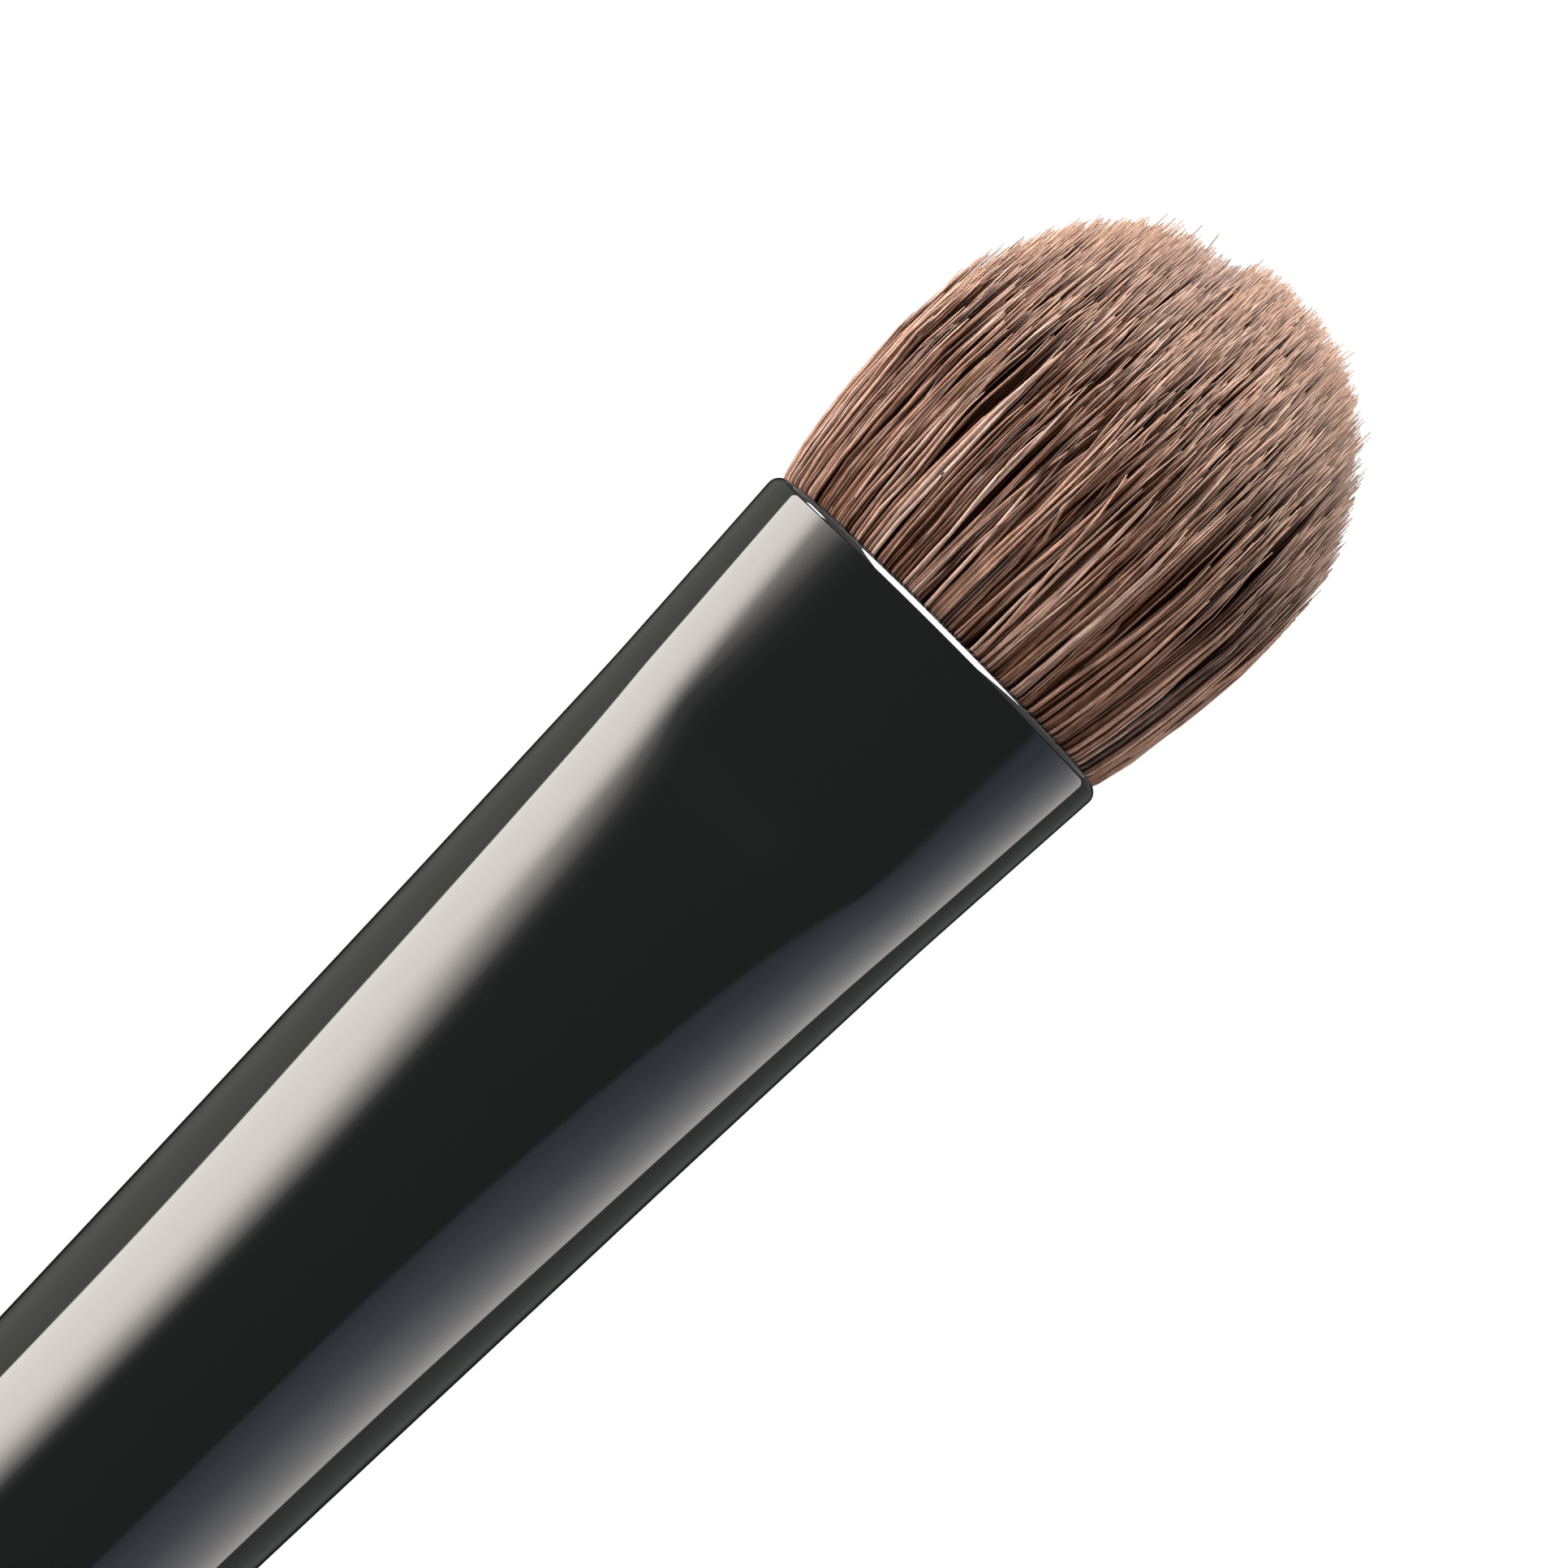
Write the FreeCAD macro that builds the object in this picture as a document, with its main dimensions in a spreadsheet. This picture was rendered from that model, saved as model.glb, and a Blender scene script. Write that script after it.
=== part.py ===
"""Eyeshadow brush: a turned handle, a pressed tube ferrule crimped on its tenon, and a domed hair
tuft that is tied with thread and set in glue inside the ferrule's flattened mouth.

The brush stands along +Z with the tuft up. X runs across the wide face of the mouth and Y through
its thickness. The origin is on the axis, halfway up the plain stretch of the ferrule's barrel.
"""

import FreeCAD
import Part
import Sketcher
import math
import os

# Every driving size: alias, millimetres (degrees for an angle), meaning.
SIZES = (
    ("mouth_width", "11.05", "ferrule mouth across the wide face"),
    ("mouth_thickness", "6.5", "ferrule mouth through the thin way"),
    ("mouth_corner_angle", "22.9", "where the mouth's face arcs turn into its end arcs"),
    ("press_depth", "6", "press line, where the flats end, below the mouth"),
    ("press_width", "10.32", "ferrule width there"),
    ("press_thickness", "6.62", "ferrule thickness there"),
    ("press_corner_angle", "19", "where its face arcs turn into its end arcs"),
    ("shoulder_depth", "9.4", "foot of the steep rise under the press line, below the mouth"),
    ("shoulder_width", "10.04", "ferrule width there"),
    ("shoulder_thickness", "7.56", "ferrule thickness there"),
    ("shoulder_corner_angle", "23.2", "where its face arcs turn into its end arcs"),
    ("flank_depth", "15.5", "middle of the change from oval to round, below the mouth"),
    ("flank_width", "9.58", "ferrule width there"),
    ("flank_thickness", "8.36", "ferrule thickness there"),
    ("flank_corner_angle", "30.6", "where its face arcs turn into its end arcs"),
    ("belly_depth", "24", "where the tube has become round, below the mouth"),
    ("belly_diameter", "8.98", "tube diameter there"),
    ("neck_depth_share", "0.5", "neck of the round taper, as a share of the way from belly to barrel"),
    ("neck_swell_share", "0.48", "what the neck keeps of the belly's swell over the barrel"),
    ("round_corner_angle", "45", "where the round sections are split"),
    ("barrel_depth", "33", "top of the straight barrel below the mouth"),
    ("barrel_diameter", "8.4", "straight barrel over the tenon"),
    ("barrel_plain_length", "6", "plain stretch of the barrel, above the crimps"),
    ("barrel_crimp_length", "7", "crimped stretch of the barrel, down to its lower end"),
    ("ferrule_wall", "0.4", "wall of the tube"),
    ("lip_radius", "0.28", "rounded outer edge of the mouth"),
    ("crimp_radius", "0.55", "rounded section of one crimp ring"),
    ("crimp_sink", "0.3", "how deep a crimp ring is rolled in"),
    ("crimp_pitch", "2.5", "from one crimp ring to the next"),
    ("crimp_offset", "2", "lowest crimp ring above the lower end of the ferrule"),
    ("tenon_length", "15", "handle tenon inside the ferrule"),
    ("tenon_clearance", "0.05", "film of adhesive round the tenon"),
    ("tenon_chamfer", "0.6", "lead-in at the tenon's end"),
    ("handle_length", "107", "handle below the ferrule"),
    ("tail_diameter", "5", "ball that rounds off the handle's tail"),
    ("seam_chamfer", "0.15", "broken edge of the handle where it meets the ferrule"),
    ("hair_out", "12", "hair above the mouth, to the top of the dome"),
    ("hair_width", "12.1", "tuft at its widest, across the wide face"),
    ("hair_thickness", "7", "tuft at its thickest, through the thin way"),
    ("hair_spread_height", "4.8", "where the tuft is widest, above the mouth"),
    ("hair_flare_height", "2.7", "middle of the tuft's spread, above the mouth"),
    ("hair_flare_width", "11.55", "tuft there, across the wide face"),
    ("hair_flare_thickness", "6.6", "tuft there, through the thin way"),
    ("hair_foot_width", "10.65", "hair that lies over the rim, across the wide face"),
    ("hair_foot_thickness", "6", "hair that lies over the rim, through the thin way"),
    ("hair_clearance", "0.15", "between the hair and the ferrule, and under the free hair"),
    ("root_diameter", "6.2", "tied bundle of roots"),
    ("root_depth", "23", "root ends below the mouth"),
    ("tie_depth", "14.6", "where the bundle has narrowed to its tied size, below the mouth"),
    ("thread_diameter", "0.3", "binding thread"),
    ("thread_offset", "0.4", "first turn below the narrowing of the bundle"),
    ("root_clearance", "0.05", "between the roots and what is round them"),
    ("glue_depth", "18.8", "upper face of the glue below the mouth"),
    ("glue_floor", "2", "glue below the root ends"),
    ("cut_overrun", "1", "how far every cutting shape runs past what it cuts"),
)
CRIMP_COUNT = 2
THREAD_TURNS = 5

# Heights on the axis, written in the sizes above.
MOUTH_Z = "(Sizes.barrel_depth + Sizes.barrel_plain_length / 2)"
BARREL_TOP_Z = "(Sizes.barrel_plain_length / 2)"
FERRULE_END_Z = "(-Sizes.barrel_plain_length / 2 - Sizes.barrel_crimp_length)"
SPREAD_Z = f"({MOUTH_Z} + Sizes.hair_spread_height)"
BARREL_RADIUS = "(Sizes.barrel_diameter / 2)"
BORE_RADIUS = f"({BARREL_RADIUS} - Sizes.ferrule_wall)"
NECK_DEPTH = ("(Sizes.belly_depth"
              " + Sizes.neck_depth_share * (Sizes.barrel_depth - Sizes.belly_depth))")
NECK_RADIUS = (f"({BARREL_RADIUS}"
               f" + Sizes.neck_swell_share * (Sizes.belly_diameter / 2 - {BARREL_RADIUS}))")

# Ferrule sections from the mouth down: name, depth, half width, half thickness, corner angle.
FERRULE_SECTIONS = (
    ("mouth", "0", "Sizes.mouth_width / 2", "Sizes.mouth_thickness / 2", "Sizes.mouth_corner_angle"),
    ("press", "Sizes.press_depth", "Sizes.press_width / 2", "Sizes.press_thickness / 2",
     "Sizes.press_corner_angle"),
    ("shoulder", "Sizes.shoulder_depth", "Sizes.shoulder_width / 2", "Sizes.shoulder_thickness / 2",
     "Sizes.shoulder_corner_angle"),
    ("flank", "Sizes.flank_depth", "Sizes.flank_width / 2", "Sizes.flank_thickness / 2",
     "Sizes.flank_corner_angle"),
    ("belly", "Sizes.belly_depth", "Sizes.belly_diameter / 2", "Sizes.belly_diameter / 2",
     "Sizes.round_corner_angle"),
    ("neck", NECK_DEPTH, NECK_RADIUS, NECK_RADIUS, "Sizes.round_corner_angle"),
    ("barrel", "Sizes.barrel_depth", BARREL_RADIUS, BARREL_RADIUS, "Sizes.round_corner_angle"),
)

doc = FreeCAD.newDocument("eyeshadow_brush")
sheet = doc.addObject("Spreadsheet::Sheet", "Sizes")
for row, (alias, number, meaning) in enumerate(SIZES, start=1):
    sheet.set(f"A{row}", meaning)
    sheet.set(f"B{row}", number)
    sheet.setAlias(f"B{row}", alias)
doc.recompute()


def value(expression):
    """The present number of an expression in the sheet's sizes."""
    return float(sheet.evalExpression(expression))


def point(x, y):
    """A point in a sketch's own plane."""
    return FreeCAD.Vector(x, y, 0)


def new_body(name):
    body = doc.addObject("PartDesign::Body", name)
    body.Label = name
    return body


def origin_feature(body, role):
    return next(item for item in body.Origin.OriginFeatures if item.Role == role)


def new_sketch(body, name, role, height=None):
    """An empty sketch on one of the body's origin planes, lifted to a height along its normal."""
    sketch = body.newObject("Sketcher::SketchObject", name)
    sketch.AttachmentSupport = [(origin_feature(body, role), "")]
    sketch.MapMode = "FlatFace"
    if height is not None:
        sketch.setExpression("AttachmentOffset.Base.z", height)
    return sketch


def drive(sketch, name, constraint, expression):
    """Add a dimension to a sketch and bind it to the sizes."""
    index = sketch.addConstraint(constraint)
    sketch.renameConstraint(index, name)
    sketch.setExpression(f"Constraints.{name}", expression)


def round_sketch(body, name, height, radius):
    """A circle about the axis, at a height."""
    sketch = new_sketch(body, name, "XY_Plane", height)
    sketch.addGeometry(Part.Circle(point(0, 0), FreeCAD.Vector(0, 0, 1), value(radius)), False)
    sketch.addConstraint(Sketcher.Constraint("Coincident", 0, 3, -1, 1))
    drive(sketch, "radius", Sketcher.Constraint("Radius", 0, value(radius)), radius)
    return sketch


def ellipse_sketch(body, name, height, half_width, half_thickness):
    """An ellipse about the axis, long way along X, at a height."""
    sketch = new_sketch(body, name, "XY_Plane", height)
    along, across = value(half_width), value(half_thickness)
    sketch.addGeometry(Part.Ellipse(point(along, 0), point(0, across), point(0, 0)), False)
    sketch.exposeInternalGeometry(0)
    sketch.addConstraint(Sketcher.Constraint("Coincident", 0, 3, -1, 1))
    sketch.addConstraint(Sketcher.Constraint("Horizontal", 1))
    drive(sketch, "width", Sketcher.Constraint("Distance", 1, 2 * along), f"2 * ({half_width})")
    drive(sketch, "thickness", Sketcher.Constraint("Distance", 2, 2 * across),
          f"2 * ({half_thickness})")
    return sketch


def oval_sketch(body, name, height, half_width, half_thickness, corner_angle):
    """Four tangent arcs about the axis: two faces across Y and two ends across X.

    A face and an end share their normal at the corner angle from Y, which sets both radii from the
    width and the thickness. Equal width and thickness give a circle.
    """
    sketch = new_sketch(body, name, "XY_Plane", height)
    sine, cosine = f"sin({corner_angle})", f"cos({corner_angle})"
    end_radius = (f"((({half_thickness}) * {sine} - ({half_width}) * (1 - {cosine}))"
                  f" / ({sine} + {cosine} - 1))")
    face_radius = f"((({half_width}) - {end_radius} * (1 - {sine})) / {sine})"
    corner_x = f"(({half_width}) - {end_radius} * (1 - {sine}))"
    corner_y = f"({end_radius} * {cosine})"

    end_shift = value(half_width) - value(end_radius)
    face_shift = value(face_radius) - value(half_thickness)
    turn = math.radians(value(corner_angle))
    quarter = math.pi / 2
    arcs = (
        (point(end_shift, 0), end_radius, turn - quarter, quarter - turn),
        (point(0, -face_shift), face_radius, quarter - turn, quarter + turn),
        (point(-end_shift, 0), end_radius, quarter + turn, 3 * quarter - turn),
        (point(0, face_shift), face_radius, 3 * quarter - turn, 3 * quarter + turn),
    )
    for centre, radius, first, last in arcs:
        circle = Part.Circle(centre, FreeCAD.Vector(0, 0, 1), value(radius))
        sketch.addGeometry(Part.ArcOfCircle(circle, first, last), False)
    for arc, across in enumerate(("Vertical", "Horizontal", "Vertical", "Horizontal")):
        sketch.addConstraint(Sketcher.Constraint("Coincident", arc, 2, (arc + 1) % len(arcs), 1))
        sketch.addConstraint(Sketcher.Constraint(across, arc, 1, arc, 2))
    sketch.addConstraint(Sketcher.Constraint("Symmetric", 0, 2, 2, 2, -1, 1))
    sketch.addConstraint(Sketcher.Constraint("Equal", 0, 2))
    sketch.addConstraint(Sketcher.Constraint("Equal", 1, 3))
    drive(sketch, "end_radius", Sketcher.Constraint("Radius", 0, value(end_radius)), end_radius)
    drive(sketch, "face_radius", Sketcher.Constraint("Radius", 1, value(face_radius)), face_radius)
    drive(sketch, "corner_x", Sketcher.Constraint("DistanceX", -1, 1, 0, 2, value(corner_x)), corner_x)
    drive(sketch, "corner_y", Sketcher.Constraint("DistanceY", -1, 1, 0, 2, value(corner_y)), corner_y)
    return sketch


def crimp_sketch(body, name, ring_radius):
    """Round sections of the crimp rings, on centres just outside the barrel, in the XZ plane."""
    sketch = new_sketch(body, name, "XZ_Plane")
    centre_x = f"({BARREL_RADIUS} - Sizes.crimp_sink + Sizes.crimp_radius)"
    for ring in range(CRIMP_COUNT):
        centre_z = f"({FERRULE_END_Z} + Sizes.crimp_offset + {ring} * Sizes.crimp_pitch)"
        centre = point(value(centre_x), value(centre_z))
        circle = Part.Circle(centre, FreeCAD.Vector(0, 0, 1), value(ring_radius))
        index = sketch.addGeometry(circle, False)
        radius = Sketcher.Constraint("Radius", index, value(ring_radius))
        out = Sketcher.Constraint("DistanceX", -1, 1, index, 3, centre.x)
        up = Sketcher.Constraint("DistanceY", -1, 1, index, 3, centre.y)
        drive(sketch, f"ring_radius_{ring}", radius, ring_radius)
        drive(sketch, f"ring_out_{ring}", out, centre_x)
        drive(sketch, f"ring_up_{ring}", up, centre_z)
    return sketch


def pad(body, name, sketch, length, downwards=False):
    feature = body.newObject("PartDesign::Pad", name)
    feature.Profile = sketch
    feature.Reversed = downwards
    feature.setExpression("Length", length)
    return feature


def loft(body, name, sketches):
    feature = body.newObject("PartDesign::AdditiveLoft", name)
    feature.Profile = sketches[0]
    feature.Sections = sketches[1:]
    return feature


def turned(body, kind, name, sketch):
    """A full Revolution or Groove of an XZ sketch about the brush's axis."""
    feature = body.newObject(f"PartDesign::{kind}", name)
    feature.Profile = sketch
    feature.ReferenceAxis = (sketch, ["V_Axis"])
    feature.Angle = 360
    return feature


def cut_volume(body, make_cut):
    """Run a cut on a body and fail if it took nothing away."""
    doc.recompute()
    before = body.Shape.Volume
    make_cut()
    doc.recompute()
    if body.Shape.Volume >= before:
        raise RuntimeError(f"a cut in {body.Label} took nothing away")


def tube_sections(body, inset):
    """The ferrule's sections as sketches of a body, drawn in by an inset from the outer surface."""
    return [
        oval_sketch(body, f"{body.Label}_{name}", f"{MOUTH_Z} - {depth}", f"{half_width} - {inset}",
                    f"{half_thickness} - {inset}", angle)
        for name, depth, half_width, half_thickness, angle in FERRULE_SECTIONS
    ]


def ferrule_blank():
    """The tube's outer form, still solid: pressed mouth, change to round, barrel and crimps."""
    body = new_body("ferrule_blank")
    sections = tube_sections(body, "0")
    loft(body, "blank_flats", sections[:2])
    loft(body, "blank_loft", sections[1:])
    end = round_sketch(body, "blank_barrel_end", FERRULE_END_Z, BARREL_RADIUS)
    pad(body, "blank_barrel", end, f"{BARREL_TOP_Z} - {FERRULE_END_Z}")
    rings = crimp_sketch(body, "blank_crimps", "Sizes.crimp_radius")
    cut_volume(body, lambda: turned(body, "Groove", "blank_crimp_cut", rings))
    mouth_height = value(MOUTH_Z)
    tip = body.Tip
    lip_edges = [
        f"Edge{number}" for number, edge in enumerate(tip.Shape.Edges, start=1)
        if math.isclose(edge.BoundBox.ZMin, mouth_height, abs_tol=1e-6)
        and math.isclose(edge.BoundBox.ZMax, mouth_height, abs_tol=1e-6)
    ]
    lip = body.newObject("PartDesign::Fillet", "blank_lip")
    lip.Base = (tip, lip_edges)
    lip.setExpression("Radius", "Sizes.lip_radius")
    return body


def ferrule_bore():
    """The space inside the tube, one wall in from its outer form, open past both ends."""
    body = new_body("ferrule_bore")
    sections = tube_sections(body, "Sizes.ferrule_wall")
    loft(body, "bore_flats", sections[:2])
    loft(body, "bore_loft", sections[1:])
    pad(body, "bore_mouth", sections[0], "Sizes.cut_overrun")
    end = round_sketch(body, "bore_barrel_end", f"{FERRULE_END_Z} - Sizes.cut_overrun", BORE_RADIUS)
    pad(body, "bore_barrel", end, f"{BARREL_TOP_Z} - {FERRULE_END_Z} + Sizes.cut_overrun")
    rings = crimp_sketch(body, "bore_crimps", "Sizes.crimp_radius + Sizes.ferrule_wall")
    cut_volume(body, lambda: turned(body, "Groove", "bore_crimp_cut", rings))
    return body


def ferrule(blank, bore):
    """The tube itself: its outer form less the space inside."""
    tube = doc.addObject("Part::Cut", "ferrule")
    tube.Label = "ferrule"
    tube.Base = blank
    tube.Tool = bore
    return tube


def handle():
    """Turned handle: chamfered tenon, shoulder flush with the barrel, one long curve, ball tail."""
    body = new_body("handle")
    sketch = new_sketch(body, "handle_profile", "XZ_Plane")
    tenon_radius = f"({BORE_RADIUS} - Sizes.tenon_clearance)"
    tenon_top = f"({FERRULE_END_Z} + Sizes.tenon_length)"
    tail_radius = "(Sizes.tail_diameter / 2)"
    tail_centre = f"({FERRULE_END_Z} - Sizes.handle_length + {tail_radius})"
    curve_top = f"({FERRULE_END_Z} - Sizes.seam_chamfer)"

    edge = value(BARREL_RADIUS)
    ball = value(tail_radius)
    ball_z = value(tail_centre)
    top = value(curve_top)
    run = top - ball_z
    sweep_radius = (run ** 2 + edge ** 2 - ball ** 2) / (2 * (edge - ball))
    sweep_angle = math.asin(run / (sweep_radius - ball))
    outline = [
        point(0, value(tenon_top)),
        point(value(tenon_radius) - value("Sizes.tenon_chamfer"), value(tenon_top)),
        point(value(tenon_radius), value(tenon_top) - value("Sizes.tenon_chamfer")),
        point(value(tenon_radius), value(FERRULE_END_Z)),
        point(edge - value("Sizes.seam_chamfer"), value(FERRULE_END_Z)),
        point(edge, top),
    ]
    for start, stop in zip(outline, outline[1:]):
        sketch.addGeometry(Part.LineSegment(start, stop), False)
    normal = FreeCAD.Vector(0, 0, 1)
    sweep = Part.Circle(point(edge - sweep_radius, top), normal, sweep_radius)
    curve = sketch.addGeometry(Part.ArcOfCircle(sweep, -sweep_angle, 0), False)
    tail = Part.Circle(point(0, ball_z), normal, ball)
    cap = sketch.addGeometry(Part.ArcOfCircle(tail, -math.pi / 2, -sweep_angle), False)
    axis_line = Part.LineSegment(point(0, ball_z - ball), outline[0])
    axis = sketch.addGeometry(axis_line, False)

    seam = len(outline) - 2
    for line in range(seam):
        sketch.addConstraint(Sketcher.Constraint("Coincident", line, 2, line + 1, 1))
    sketch.addConstraint(Sketcher.Constraint("Coincident", seam, 2, curve, 2))
    sketch.addConstraint(Sketcher.Constraint("Tangent", curve, 1, cap, 2))
    sketch.addConstraint(Sketcher.Constraint("Coincident", cap, 1, axis, 1))
    sketch.addConstraint(Sketcher.Constraint("Coincident", axis, 2, 0, 1))
    sketch.addConstraint(Sketcher.Constraint("PointOnObject", 0, 1, -2))
    sketch.addConstraint(Sketcher.Constraint("PointOnObject", cap, 3, -2))
    sketch.addConstraint(Sketcher.Constraint("PointOnObject", cap, 1, -2))
    sketch.addConstraint(Sketcher.Constraint("Horizontal", 0))
    sketch.addConstraint(Sketcher.Constraint("Vertical", 2))
    sketch.addConstraint(Sketcher.Constraint("Horizontal", 3))
    sketch.addConstraint(Sketcher.Constraint("Horizontal", curve, 2, curve, 3))

    def place(name, kind, geometry, end, expression):
        constraint = Sketcher.Constraint(kind, -1, 1, geometry, end, value(expression))
        drive(sketch, name, constraint, expression)

    place("tenon_top", "DistanceY", 0, 1, tenon_top)
    place("tenon_end_radius", "DistanceX", 0, 2, f"{tenon_radius} - Sizes.tenon_chamfer")
    place("tenon_radius", "DistanceX", 1, 2, tenon_radius)
    place("tenon_edge", "DistanceY", 1, 2, f"{tenon_top} - Sizes.tenon_chamfer")
    place("shoulder", "DistanceY", 2, 2, FERRULE_END_Z)
    place("shoulder_radius", "DistanceX", 3, 2, f"{BARREL_RADIUS} - Sizes.seam_chamfer")
    place("curve_radius", "DistanceX", seam, 2, BARREL_RADIUS)
    place("curve_top", "DistanceY", seam, 2, curve_top)
    place("tail_centre", "DistanceY", cap, 3, tail_centre)
    drive(sketch, "tail_radius", Sketcher.Constraint("Radius", cap, ball), tail_radius)
    turned(body, "Revolution", "handle_turning", sketch)

    ring_radius = "Sizes.crimp_radius + Sizes.ferrule_wall + Sizes.tenon_clearance"
    rings = crimp_sketch(body, "handle_crimps", ring_radius)
    cut_volume(body, lambda: turned(body, "Groove", "handle_crimp_cut", rings))
    return body


def hair_roots():
    """The part of the hair that the ferrule holds: tied root ends, and a neck up to the mouth."""
    body = new_body("hair_roots")
    root_radius = "Sizes.root_diameter / 2"
    inset = "(Sizes.ferrule_wall + Sizes.hair_clearance)"
    root_end = round_sketch(body, "root_end", f"{MOUTH_Z} - Sizes.root_depth", root_radius)
    pad(body, "tied_roots", root_end, "Sizes.root_depth - Sizes.tie_depth")
    neck = loft(body, "root_neck", [
        round_sketch(body, "tie", f"{MOUTH_Z} - Sizes.tie_depth", root_radius),
        ellipse_sketch(body, "root_waist", f"{MOUTH_Z} - Sizes.press_depth",
                       f"Sizes.press_width / 2 - {inset}", f"Sizes.press_thickness / 2 - {inset}"),
        ellipse_sketch(body, "root_mouth", MOUTH_Z, f"Sizes.mouth_width / 2 - {inset}",
                       f"Sizes.mouth_thickness / 2 - {inset}"),
    ])
    neck.Ruled = True
    return body


def hair_tuft():
    """The free hair as one closed form: a foot over the rim, a spread and a half-ellipsoid dome."""
    body = new_body("hair_tuft")
    loft(body, "hair_spread", [
        ellipse_sketch(body, "hair_foot", f"{MOUTH_Z} + Sizes.hair_clearance",
                       "Sizes.hair_foot_width / 2", "Sizes.hair_foot_thickness / 2"),
        ellipse_sketch(body, "hair_flare", f"{MOUTH_Z} + Sizes.hair_flare_height",
                       "Sizes.hair_flare_width / 2", "Sizes.hair_flare_thickness / 2"),
        ellipse_sketch(body, "hair_widest", SPREAD_Z, "Sizes.hair_width / 2",
                       "Sizes.hair_thickness / 2"),
    ])
    dome = body.newObject("PartDesign::AdditiveEllipsoid", "hair_dome")
    dome.AttachmentSupport = [(origin_feature(body, "XY_Plane"), "")]
    dome.MapMode = "FlatFace"
    dome.setExpression("AttachmentOffset.Base.z", SPREAD_Z)
    dome.Angle1 = 0
    dome.Angle2 = 90
    dome.setExpression("Radius1", "Sizes.hair_out - Sizes.hair_spread_height")
    dome.setExpression("Radius2", "Sizes.hair_width / 2")
    dome.setExpression("Radius3", "Sizes.hair_thickness / 2")
    return body


def binding_thread():
    """Thread wound tight round the tied roots: turns side by side, flat on the bundle, round outside."""
    body = new_body("binding_thread")
    sketch = new_sketch(body, "thread_profile", "XZ_Plane")
    thread_radius = "(Sizes.thread_diameter / 2)"
    bundle = "(Sizes.root_diameter / 2 + Sizes.root_clearance)"
    out = f"({bundle} + {thread_radius})"
    bottom = f"({MOUTH_Z} - Sizes.tie_depth - Sizes.thread_offset - {THREAD_TURNS} * Sizes.thread_diameter)"
    first = f"({bottom} + {thread_radius})"

    quarter = math.pi / 2
    radius = value(thread_radius)
    for turn in range(THREAD_TURNS):
        centre = point(value(out), value(first) + 2 * turn * radius)
        circle = Part.Circle(centre, FreeCAD.Vector(0, 0, 1), radius)
        sketch.addGeometry(Part.ArcOfCircle(circle, -quarter, quarter), False)
        sketch.addConstraint(Sketcher.Constraint("Vertical", turn, 1, turn, 3))
        sketch.addConstraint(Sketcher.Constraint("Vertical", turn, 2, turn, 3))
    for turn in range(1, THREAD_TURNS):
        sketch.addConstraint(Sketcher.Constraint("Coincident", turn - 1, 2, turn, 1))
        sketch.addConstraint(Sketcher.Constraint("Equal", 0, turn))
    drive(sketch, "thread_radius", Sketcher.Constraint("Radius", 0, radius), thread_radius)
    drive(sketch, "thread_out", Sketcher.Constraint("DistanceX", -1, 1, 0, 3, value(out)), out)
    drive(sketch, "thread_up", Sketcher.Constraint("DistanceY", -1, 1, 0, 3, value(first)), first)

    top = value(bottom) + 2 * THREAD_TURNS * radius
    outline = [
        point(value(out), top),
        point(value(bundle), top),
        point(value(bundle), value(bottom)),
        point(value(out), value(bottom)),
    ]
    for begin, end in zip(outline, outline[1:]):
        sketch.addGeometry(Part.LineSegment(begin, end), False)
    upper, inner, lower = range(THREAD_TURNS, THREAD_TURNS + 3)
    sketch.addConstraint(Sketcher.Constraint("Coincident", THREAD_TURNS - 1, 2, upper, 1))
    sketch.addConstraint(Sketcher.Constraint("Coincident", upper, 2, inner, 1))
    sketch.addConstraint(Sketcher.Constraint("Coincident", inner, 2, lower, 1))
    sketch.addConstraint(Sketcher.Constraint("Coincident", lower, 2, 0, 1))
    sketch.addConstraint(Sketcher.Constraint("Horizontal", upper))
    sketch.addConstraint(Sketcher.Constraint("Vertical", inner))
    sketch.addConstraint(Sketcher.Constraint("Horizontal", lower))
    drive(sketch, "bundle", Sketcher.Constraint("DistanceX", -1, 1, inner, 1, value(bundle)), bundle)
    turned(body, "Revolution", "winding", sketch)
    return body


def glue_plug(bore):
    """Cast glue: fills the bore round and below the root ends, with the roots' socket left in it."""
    bottom = f"{MOUTH_Z} - Sizes.root_depth - Sizes.glue_floor"
    slab = doc.addObject("Part::Cylinder", "glue_slab")
    slab.setExpression("Radius", "Sizes.mouth_width")
    slab.setExpression("Height", "Sizes.root_depth + Sizes.glue_floor - Sizes.glue_depth")
    slab.setExpression("Placement.Base.z", bottom)
    cast = doc.addObject("Part::Common", "glue_cast")
    cast.Base = bore
    cast.Tool = slab
    socket = doc.addObject("Part::Cylinder", "root_socket")
    socket.setExpression("Radius", "Sizes.root_diameter / 2 + Sizes.root_clearance")
    socket.setExpression("Height", "Sizes.root_depth + Sizes.root_clearance")
    socket.setExpression("Placement.Base.z", f"{MOUTH_Z} - Sizes.root_depth - Sizes.root_clearance")
    plug = doc.addObject("Part::Cut", "glue_plug")
    plug.Label = "glue_plug"
    plug.Base = cast
    plug.Tool = socket
    return plug


bore_body = ferrule_bore()
parts = [
    handle(),
    ferrule(ferrule_blank(), bore_body),
    hair_roots(),
    hair_tuft(),
    binding_thread(),
    glue_plug(bore_body),
]
doc.recompute()

for item in doc.Objects:
    if "Invalid" in item.State or "Error" in item.State:
        raise RuntimeError(f"{item.Label} did not build: {item.State}")
for part in parts:
    if part.Shape.isNull() or not part.Shape.isValid():
        raise RuntimeError(f"{part.Label} has no valid shape")

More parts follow.
